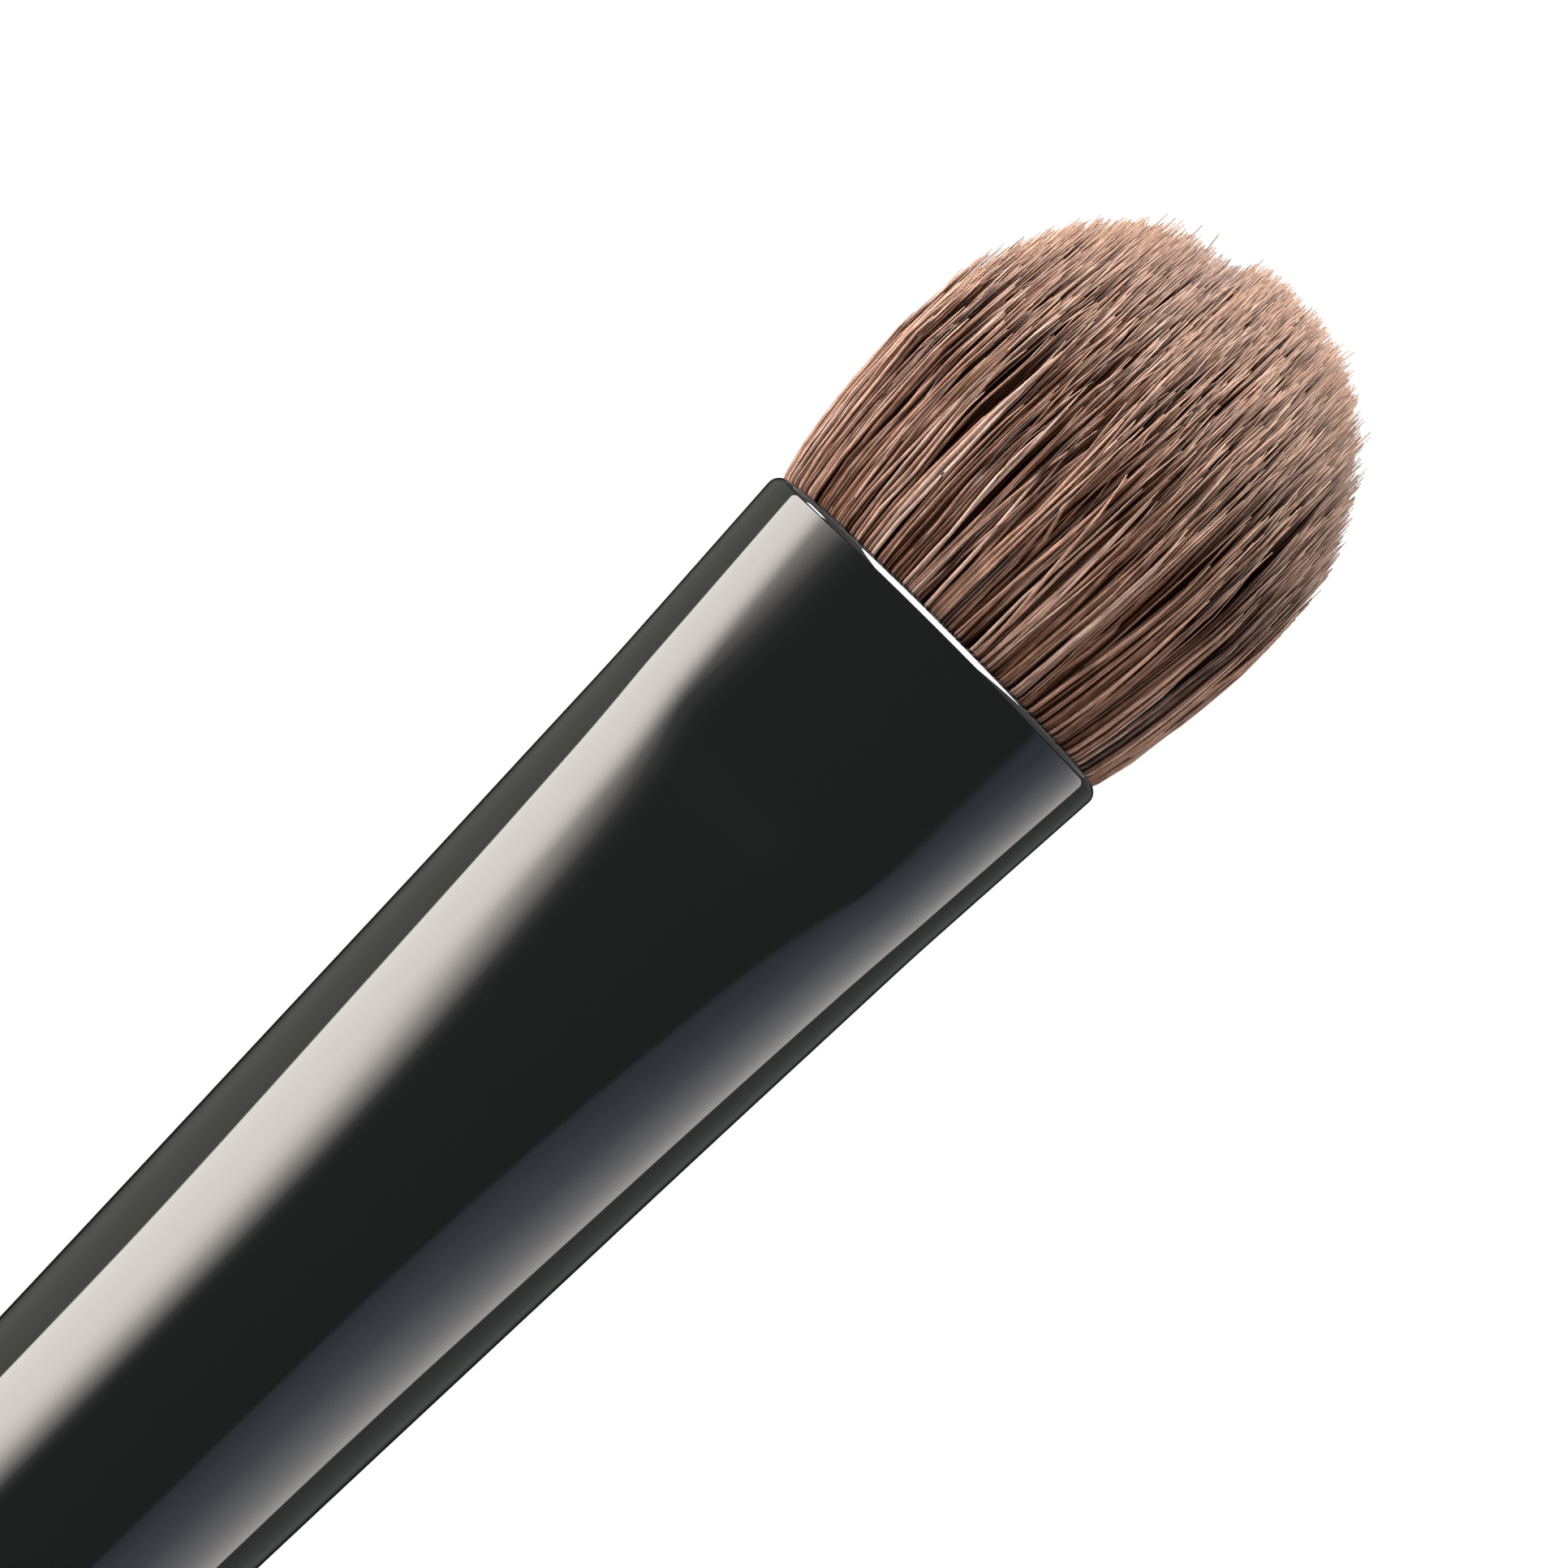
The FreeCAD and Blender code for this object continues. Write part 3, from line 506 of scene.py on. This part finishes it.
class BRUSH_OT_set_hair(bpy.types.Operator):
    """Set the hair: strands from the tied roots through the mouth to the dome"""
    bl_idname = "makeup_brush.set_hair"
    bl_label = "Set Hair"

    # Points of a strand, in mm over the mouth: fixed ones in the ferrule, then free ones up to its tip.
    hidden_heights = (-22.5, -14.6, -6.0, -0.6)
    free_start = 0.15
    free_points = 9
    free_spacing = 0.85  # under 1 sets the points closer towards the tip
    taper = ((0.0, 0.45, 0.82, 1.0), (1.0, 0.97, 0.64, 0.22))  # shares of the free length, widths
    rod_sides = 4

    # How the hairs are dealt out: places in the bundle, uneven tips in mm, thickness and tint.
    seed = 20
    half_width, half_thickness = 6, 3.5  # of the free bundle, in round mm
    fullness = 2.3  # of the bundle's outline and of the dome, where 2 is an ellipse
    turn_scatter = 0.05
    tip_offset, tip_scatter, tip_limits = -0.12, 0.2, (-0.6, 0.08)
    thickness_scatter, thickness_limits = 0.28, (0.55, 1.7)
    tint_middle, tint_scatter = 0.53, 0.29

    # Locks: hairs draw together over the mouth, to their nearest lock, and leave dark gaps between.
    locks = 250
    gather, gather_height = 0.3, 5.0

    # How far the tips stray, in mm: across, through, a few that cross the rest, and a flick at the end.
    lean_across, lean_through = 0.32, 0.16
    lean_height, lean_limit = 12.0, 1.1
    crossing_share, crossing_times = 0.1, 2.6
    flick = 0.16
    inward_share = 0.4
    sideways_set = 0.2

    # The dome is parted left of its middle, and the hairs beyond the parting end lower: the drop in mm,
    # the rest as shares of the half width.
    parting_drop = 0.55
    parting_place, parting_width, parting_edge = 0.19, 0.27, 0.015

    # Slight waves, in mm, with a few hairs more wavy than the rest.
    wave, wave_lengths, wave_start = 0.03, (3.0, 6.5), 1.5
    wavy_share, wavy_times = 0.08, 3

    # Painted shading of a strand: 0 where it is buried, more on the outside, 1 at the tip, and less at
    # the foot. It paints shade into the colour, and paints the tip paler for light shining through it.
    outer_tone, tip_tone, tip_from = 0.7, 0.3, 0.87
    shade_reach, shade_growth = 0.13, 0.45
    foot_tone, foot_height = 0.82, 3.0

    def paths(self, sizes):
        """Points in mm over the mouth, relative radii, tint and painted shading of every strand."""
        rng = np.random.default_rng(self.seed)
        count = sizes.hair_count
        fullness = self.fullness

        # Even places over the bundle, from its heart outwards, in a full oval of half width 1.
        order = np.arange(count)
        reach = np.sqrt((order + 0.5) / count)
        turn = order * math.pi * (3 - math.sqrt(5)) + rng.normal(0, self.turn_scatter, count)
        square = (np.abs(np.cos(turn)) ** fullness
                  + np.abs(np.sin(turn)) ** fullness) ** (-1 / fullness)
        flat_x = reach * square * np.cos(turn)
        flat_y = reach * square * np.sin(turn)

        shoulder = sizes.shoulder_height / MM
        rise = sizes.dome_height / MM - shoulder
        top = shoulder + rise * (1 - reach ** fullness) ** (1 / fullness)
        top += np.clip(rng.normal(self.tip_offset, self.tip_scatter, count), *self.tip_limits)

        lock_reach = np.sqrt(rng.random(self.locks))
        lock_turn = rng.random(self.locks) * 2 * math.pi
        lock_x = lock_reach * np.cos(lock_turn)
        lock_y = lock_reach * np.sin(lock_turn)
        apart = ((self.half_width * (flat_x[:, None] - lock_x)) ** 2
                 + (self.half_thickness * (flat_y[:, None] - lock_y)) ** 2)
        lock = np.argmin(apart, axis=1)
        pull_x = lock_x[lock] - flat_x
        pull_y = lock_y[lock] - flat_y

        # Hairs at the sides hardly stray outwards, so that the outline stays clean.
        lean_x = rng.normal(0, self.lean_across, count)
        lean_y = rng.normal(0, self.lean_through, count)
        crossing = rng.random(count) < self.crossing_share
        lean_x[crossing] *= self.crossing_times
        flick_x = rng.normal(0, self.flick, count)
        for drift in (lean_x, flick_x):
            drift *= np.where(drift * flat_x > 0, (1 - np.abs(flat_x)) ** 2,
                              1 - self.inward_share * np.abs(flat_x))
        parting = flat_x + self.parting_place + (lean_x + flick_x) / self.half_width
        top -= (self.parting_drop * np.exp(-(parting / self.parting_width) ** 2)
                / (1 + np.exp(parting / self.parting_edge)))
        wave = np.abs(rng.normal(0, self.wave, count))
        wavy = rng.random(count) < self.wavy_share
        wave[wavy] *= self.wavy_times
        length = rng.uniform(*self.wave_lengths, count)
        phase = rng.uniform(0, 2 * math.pi, (2, count))

        hidden = len(self.hidden_heights)
        heights = np.empty((count, hidden + self.free_points))
        heights[:, :hidden] = self.hidden_heights
        free = np.linspace(0.0, 1.0, self.free_points) ** self.free_spacing
        heights[:, hidden:] = self.free_start + (top[:, None] - self.free_start) * free
        share = np.clip(heights / top[:, None], 0.0, 1.0)
        knots, half_widths, half_thicknesses = np.array(BUNDLE_SECTIONS).T
        free_share = np.clip(heights / self.lean_height, 0.0, self.lean_limit)
        gather = self.gather * np.clip(heights / self.gather_height, 0.0, 1.0)
        x = np.interp(heights, knots, half_widths) * (flat_x[:, None] + gather * pull_x[:, None])
        y = np.interp(heights, knots, half_thicknesses) * (flat_y[:, None] + gather * pull_y[:, None])
        x += (lean_x[:, None] * free_share + self.sideways_set * free_share ** 2
              + flick_x[:, None] * share ** 3)
        y += lean_y[:, None] * free_share
        ripple = 2 * math.pi * heights / length[:, None]
        fade = np.clip(heights / self.wave_start, 0.0, 1.0)
        x += fade * wave[:, None] * np.sin(ripple + phase[0][:, None])
        y += fade * wave[:, None] * np.sin(ripple + phase[1][:, None])

        # Painted shade: a strand's colour is darkest deep in the bundle, where the dome's outer hairs still
        # stand round it.
        climb = np.clip((heights - shoulder) / rise, 0.0, 1.0)
        outer = (1 - climb ** fullness) ** (1 / fullness)
        buried = np.clip(outer - reach[:, None], 0.0, 1.0)
        # Painted light: the tip is painted paler, for light shining through it.
        tip = np.clip((share - self.tip_from) / (1 - self.tip_from), 0.0, 1.0)
        # Painted shade: the colour is a little darker towards the foot, under the dome.
        foot_shade = self.foot_tone + (1 - self.foot_tone) * np.clip(heights / self.foot_height, 0.0, 1.0)
        shaded = np.exp(-buried / (self.shade_reach + self.shade_growth * climb))
        tone = np.clip(self.outer_tone * foot_shade * shaded + self.tip_tone * tip, 0.0, 1.0)

        radii = np.interp(share, *self.taper)
        size = np.clip(rng.normal(1.0, self.thickness_scatter, count), *self.thickness_limits)
        tint = np.clip(rng.normal(self.tint_middle, self.tint_scatter, count), 0.0, 1.0)
        return np.dstack((x, y, heights)), radii * size[:, None], tint, tone

    def strands(self, name, points, radii, tint, tone, sizes, material):
        """One piece of hair: a rod along every path, with its tint and painted shading kept as a UV map."""
        curve = bpy.data.curves.new(name, "CURVE")
        curve.dimensions = "3D"
        curve.bevel_depth = sizes.hair_thickness / MM / 2
        curve.bevel_resolution = 0
        for path, widths in zip(points, radii):
            spline = curve.splines.new("POLY")
            spline.points.add(len(path) - 1)
            weighted = np.column_stack((path, np.ones(len(path))))
            spline.points.foreach_set("co", weighted.ravel())
            spline.points.foreach_set("radius", widths)
        holder = bpy.data.objects.new(name, curve)
        bpy.context.scene.collection.objects.link(holder)
        graph = bpy.context.evaluated_depsgraph_get()
        rods = bpy.data.meshes.new_from_object(holder.evaluated_get(graph))
        bpy.data.objects.remove(holder)
        bpy.data.curves.remove(curve)
        bm = bmesh.new()
        bm.from_mesh(rods)
        bpy.data.meshes.remove(rods)
        bmesh.ops.holes_fill(bm, edges=bm.edges, sides=self.rod_sides)
        bmesh.ops.scale(bm, verts=bm.verts, vec=(MM, MM, MM))
        bmesh.ops.translate(bm, verts=bm.verts, vec=(0, 0, MOUTH_Z))
        mesh = mesh_from(name, bm)

        count, stops = points.shape[:2]
        sides, left_over = divmod(len(mesh.vertices), count * stops)
        if left_over:
            raise RuntimeError(f"{name}: the strands don't share one number of sides")
        corner = np.empty(len(mesh.loops), np.int32)
        mesh.loops.foreach_get("vertex_index", corner)
        strand = corner // (sides * stops)
        place = corner % (sides * stops) // sides
        # The rods bring a map of their own, which gives way to tint and painted shading.
        for old in list(mesh.uv_layers):
            mesh.uv_layers.remove(old)
        layer = mesh.uv_layers.new(name="strand")
        layer.data.foreach_set("uv", np.column_stack((tint[strand], tone[strand, place])).ravel())
        piece = add_piece(name, mesh, material)
        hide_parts("hair_tuft", "hair_roots")
        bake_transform(piece, "brush", "tuft", start=(0, 0, MOUTH_Z + 0.3 * MM), end=(0, 0, MOUTH_Z + 9 * MM))

    def execute(self, context):
        sizes = context.scene.brush_sizes
        points, radii, tint, tone = self.paths(sizes)
        material = brown_hair("brown_goat_hair_dressed", context.scene.brush_colours)
        layers = ("hair_heart", "hair_core", "hair_middle", "hair_mantle")
        for name, part in zip(layers, np.array_split(np.arange(len(points)), len(layers))):
            self.strands(name, points[part], radii[part], tint[part], tone[part], sizes, material)
        return {"FINISHED"}


class BRUSH_OT_bind_roots(bpy.types.Operator):
    """Bind the roots: a waxed thread wound round the bundle, and the glue that it is set in"""
    bl_idname = "makeup_brush.bind_roots"
    bl_label = "Bind Roots"

    thread_sides, steps_per_turn = 8, 40
    snug_share = 0.95  # of the thread's radius, so that its turns don't run into each other

    def execute(self, context):
        sizes = context.scene.brush_sizes
        colours = context.scene.brush_colours
        radius = sizes.thread_diameter / 2
        out = THREAD_HIGH.x - radius
        turns = round((THREAD_HIGH.z - THREAD_LOW.z) / sizes.thread_diameter) - 1
        steps = self.steps_per_turn
        bm = bmesh.new()
        section = bmesh.ops.create_circle(bm, cap_ends=True, segments=self.thread_sides,
                                          radius=radius * self.snug_share)["verts"]
        bmesh.ops.rotate(bm, verts=section, cent=(0, 0, 0),
                         matrix=Matrix.Rotation(math.pi / 2, 3, "X"))
        bmesh.ops.translate(bm, verts=section, vec=(out, 0, THREAD_LOW.z + radius))
        bmesh.ops.spin(bm, geom=bm.faces[:], axis=(0, 0, 1), cent=(0, 0, 0), steps=turns * steps,
                       dvec=(0, 0, sizes.thread_diameter / steps), angle=2 * math.pi * turns)
        thread = add_piece("wound_thread", mesh_from("wound_thread", bm),
                           waxed_thread("waxed_cotton_thread_wound", colours.thread))
        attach(thread, "brush")
        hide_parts("binding_thread")

        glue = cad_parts["glue_plug"]
        glue.data.materials.clear()
        glue.data.materials.append(cast_epoxy("amber_epoxy_cast", colours.epoxy))
        return {"FINISHED"}


class BRUSH_OT_set_stage(bpy.types.Operator):
    """Set the stage: pale floor, light tent, lamps, white world and the camera"""
    bl_idname = "makeup_brush.set_stage"
    bl_label = "Set Stage"

    # Floor, in metres: half its width, and where its card starts and ends to turn to plain white.
    floor_half = 4.0
    card_fades = (0.15, 0.6)

    # Tent, in metres: its radius and height, how high it clears the floor, how far over the mouth its
    # bands reach, how soft they end there, and the height over which its foot turns to white.
    tent_radius, tent_height, tent_clear = 0.4, 0.42, 0.002
    tent_sides = 128
    bands_reach, bands_edge = 0.18, 0.004
    foot_reach = 0.075
    dim_cloth, dim_level = "#ecfff5", 0.28

    # Bands of light on the tent's cloth: degrees to the left of the camera, colour, radiance.
    tent = (
        (-180, "#000000", 0.0), (-163, "#ffffff", 0.02), (-150, "#e8f0ea", 0.3),
        (-113.5, "#e8f0ea", 0.38), (-113, "#fff8f2", 4.4), (-92, "#f4f4f6", 2.9),
        (-66, "#e2eafa", 1.5), (-41, "#d6e4fc", 0.8), (-40.5, "#e8fff4", 0.28),
        (30, "#f0fff6", 0.28), (34, "#f8fff8", 0.4), (38, "#ffffff", 0.85),
        (42, "#fff8f2", 2.6), (48, "#fff8f2", 5.8), (53, "#fff8f2", 9.2), (58, "#fff8f2", 12.3),
        (65, "#fff8f2", 14.3), (73, "#fff8f2", 14.8), (98.5, "#fff8f2", 13.0), (99, "#f6f6ea", 1.0),
        (140, "#f6f6ea", 0.5), (163, "#ffffff", 0.02), (180, "#000000", 0.0),
    )

    # Lamps, in metres: place from the head of the brush, width and height, then radiance. They look at
    # the head, at this height over the mouth. The world is dimmer as light than as a backdrop.
    left_softbox = ((-0.46, -0.14, 0.29), (0.25, 0.25), 26.0)
    right_softbox = ((0.42, -0.3, 0.16), (0.2, 0.2), 5.0)
    rim_strip = ((-0.028, -0.27, 0.42), (0.36, 0.68), 26.0)
    head_height = 5 * MM
    world_light = 0.3

    # Camera: how far off, the photograph's pixels to a millimetre, its tilt towards the handle in
    # degrees, and the middle of the frame from that of the mouth, across and along the brush.
    camera_distance = 0.6
    pixels_per_mm = 50.7
    camera_tilt = 5.0
    frame_across, frame_along = -0.063 * MM, -5.25 * MM
    sensor_mm = 36.0

    def floor(self):
        """A wide pale floor at the tail that turns to plain white away from the brush."""
        bm = bmesh.new()
        bmesh.ops.create_grid(bm, x_segments=1, y_segments=1, size=self.floor_half)
        mesh = mesh_from("floor", bm)
        material, tree = new_material("pale_card_matt")
        place = add_node(tree, "ShaderNodeTexCoord")
        far = add_node(tree, "ShaderNodeVectorMath", {"operation": "LENGTH"}, {0: (place, "Object")})
        start, end = self.card_fades
        edge = add_node(tree, "ShaderNodeMapRange", {"From Min": start, "From Max": end},
                        {"Value": (far, "Value")})
        path = add_node(tree, "ShaderNodeLightPath")
        seen = add_node(tree, "ShaderNodeMath", {"operation": "MAXIMUM"},
                        {0: (path, "Is Camera Ray"), 1: (path, "Is Glossy Ray")})
        blank = add_node(tree, "ShaderNodeMath", {"operation": "MULTIPLY"},
                         {0: (edge, "Result"), 1: (seen, "Value")})
        card = add_node(tree, "ShaderNodeBsdfDiffuse", {"Color": linear("#f4f4f2")})
        white = add_node(tree, "ShaderNodeEmission", {"Strength": 1.0})
        mixed = add_node(tree, "ShaderNodeMixShader",
                         links={0: (blank, "Value"), 1: (card, "BSDF"), 2: (white, "Emission")})
        add_node(tree, "ShaderNodeOutputMaterial", links={"Surface": (mixed, "Shader")})
        mesh.materials.append(material)
        mesh.transform(Matrix.Translation((0, 0, HANDLE_LOW.z)))
        floor = bpy.data.objects.new("floor", mesh)
        bpy.context.scene.collection.objects.link(floor)

    def surround(self):
        """A round light tent that only reflections see."""
        bm = bmesh.new()
        bmesh.ops.create_cone(bm, cap_ends=False, segments=self.tent_sides, radius1=self.tent_radius,
                              radius2=self.tent_radius, depth=self.tent_height)
        middle = HANDLE_LOW.z + self.tent_clear + self.tent_height / 2
        bmesh.ops.translate(bm, verts=bm.verts, vec=(0, 0, middle))
        mesh = mesh_from("light_tent", bm)
        material, tree = new_material("lit_tent_cloth")
        place = add_node(tree, "ShaderNodeTexCoord")
        parts = add_node(tree, "ShaderNodeSeparateXYZ", links={"Vector": (place, "Object")})
        left = add_node(tree, "ShaderNodeMath", {"operation": "MULTIPLY", 1: -1.0}, {0: (parts, "X")})
        near = add_node(tree, "ShaderNodeMath", {"operation": "MULTIPLY", 1: -1.0}, {0: (parts, "Y")})
        turn = add_node(tree, "ShaderNodeMath", {"operation": "ARCTAN2"},
                        {0: (left, "Value"), 1: (near, "Value")})
        around = add_node(tree, "ShaderNodeMapRange",
                          {"From Min": -math.pi, "From Max": math.pi}, {"Value": (turn, "Value")})
        peak = max(row[2] for row in self.tent)
        stops = [((angle + 180) / 360, tuple(c * level / peak for c in linear(colour)[:3]) + (1.0,))
                 for angle, colour, level in self.tent]
        bands = add_node(tree, "ShaderNodeValToRGB", {"stops": stops}, {"Fac": (around, "Result")})
        limit = MOUTH_Z + self.bands_reach
        above = add_node(tree, "ShaderNodeMapRange",
                         {"From Min": limit, "From Max": limit + self.bands_edge},
                         {"Value": (parts, "Z")})
        dim = tuple(c * self.dim_level / peak for c in linear(self.dim_cloth)[:3]) + (1.0,)
        hung = add_node(tree, "ShaderNodeMix", {"data_type": "RGBA", 7: dim},
                        {0: (above, "Result"), 6: (bands, "Color")})
        foot = add_node(tree, "ShaderNodeMapRange",
                        {"interpolation_type": "SMOOTHSTEP", "From Min": HANDLE_LOW.z,
                         "From Max": HANDLE_LOW.z + self.foot_reach, "To Min": 1.0, "To Max": 0.0},
                        {"Value": (parts, "Z")})
        stood = add_node(tree, "ShaderNodeMix", {"data_type": "RGBA", 7: grey(1 / peak)},
                         {0: (foot, "Result"), 6: (hung, 2)})
        glow = add_node(tree, "ShaderNodeEmission", {"Strength": peak}, {"Color": (stood, 2)})
        add_node(tree, "ShaderNodeOutputMaterial", links={"Surface": (glow, "Emission")})
        material.cycles.emission_sampling = "NONE"
        mesh.materials.append(material)
        tent = bpy.data.objects.new("light_tent", mesh)
        bpy.context.scene.collection.objects.link(tent)
        tent.visible_camera = False
        tent.visible_diffuse = False
        tent.visible_shadow = False
        tent.visible_transmission = False

    def lamp(self, name, place, size, radiance, diffuse=True):
        """A soft rectangular lamp that looks at the head of the brush."""
        light = bpy.data.lights.new(name, "AREA")
        light.shape = "RECTANGLE"
        light.size, light.size_y = size
        light.energy = radiance * math.pi * size[0] * size[1]
        lamp = bpy.data.objects.new(name, light)
        bpy.context.scene.collection.objects.link(lamp)
        head = Vector((0, 0, MOUTH_Z + self.head_height))
        lamp.location = head + Vector(place)
        lamp.rotation_euler = (head - lamp.location).to_track_quat("-Z", "Y").to_euler()
        lamp.visible_camera = False
        lamp.visible_diffuse = diffuse

    def world(self):
        """White where the camera or a reflection sees it, dimmer as light on the brush."""
        world = bpy.data.worlds.new("white_studio")
        world.use_nodes = True
        tree = world.node_tree
        tree.nodes.clear()
        path = add_node(tree, "ShaderNodeLightPath")
        seen = add_node(tree, "ShaderNodeMath", {"operation": "MAXIMUM"},
                        {0: (path, "Is Camera Ray"), 1: (path, "Is Glossy Ray")})
        clear = add_node(tree, "ShaderNodeMath", {"operation": "MAXIMUM"},
                         {0: (seen, "Value"), 1: (path, "Is Transmission Ray")})
        level = add_node(tree, "ShaderNodeMapRange", {"To Min": self.world_light, "To Max": 1.0},
                         {"Value": (clear, "Value")})
        sky = add_node(tree, "ShaderNodeBackground", {"Color": grey(1.0)},
                       {"Strength": (level, "Result")})
        add_node(tree, "ShaderNodeOutputWorld", links={"Surface": (sky, "Background")})
        bpy.context.scene.world = world

    def camera(self):
        """A long lens, a little from the handle's side, turned so that the tip points up and right."""
        data = bpy.data.cameras.new("camera")
        camera = bpy.data.objects.new("camera", data)
        bpy.context.scene.collection.objects.link(camera)
        distance = self.camera_distance
        pixel = MM / self.pixels_per_mm
        data.sensor_width = self.sensor_mm
        data.lens = data.sensor_width * distance / (pixel * max(PHOTO_SIZE))
        rise = math.radians(self.camera_tilt)
        look = Vector((0, math.cos(rise), math.sin(rise)))
        across = Vector((1, 0, 0))
        along = Vector((0, -math.sin(rise), math.cos(rise)))
        right = (across + along).normalized()
        up = (along - across).normalized()
        centre = Vector((0, 0, MOUTH_Z)) + along * self.frame_along + across * self.frame_across
        turn = Matrix((right, up, -look)).transposed().to_4x4()
        camera.matrix_world = Matrix.Translation(centre - look * distance) @ turn
        bpy.context.scene.camera = camera

    def execute(self, context):
        self.floor()
        self.surround()
        self.lamp("left_softbox", *self.left_softbox)
        self.lamp("right_softbox", *self.right_softbox)
        self.lamp("rim_strip", *self.rim_strip, diffuse=False)
        self.world()
        self.camera()
        context.scene.view_settings.view_transform = "Standard"
        return {"FINISHED"}


class BRUSH_PT_build(bpy.types.Panel):
    """Sizes, colours and building steps of the brush"""
    bl_idname = "BRUSH_PT_build"
    bl_label = "Eyeshadow Brush"
    bl_space_type = "VIEW_3D"
    bl_region_type = "UI"
    bl_category = "Brush"

    def draw(self, context):
        layout = self.layout
        for group in (context.scene.brush_sizes, context.scene.brush_colours):
            column = layout.column()
            for name in group.__annotations__:
                column.prop(group, name)
        for operator in OPERATORS:
            layout.operator(operator.bl_idname)


OPERATORS = (
    BRUSH_OT_turn_handle,
    BRUSH_OT_press_ferrule,
    BRUSH_OT_set_hair,
    BRUSH_OT_bind_roots,
    BRUSH_OT_set_stage,
)
CLASSES = (BrushSizes, BrushColours, *OPERATORS, BRUSH_PT_build)


def register():
    for cls in CLASSES:
        bpy.utils.register_class(cls)
    bpy.types.Scene.brush_sizes = bpy.props.PointerProperty(type=BrushSizes)
    bpy.types.Scene.brush_colours = bpy.props.PointerProperty(type=BrushColours)


def unregister():
    del bpy.types.Scene.brush_colours
    del bpy.types.Scene.brush_sizes
    for cls in reversed(CLASSES):
        bpy.utils.unregister_class(cls)


def main():
    register()
    bpy.ops.makeup_brush.turn_handle()
    bpy.ops.makeup_brush.press_ferrule()
    bpy.ops.makeup_brush.set_hair()
    bpy.ops.makeup_brush.bind_roots()
    bpy.ops.makeup_brush.set_stage()


if __name__ == "__main__":
    main()
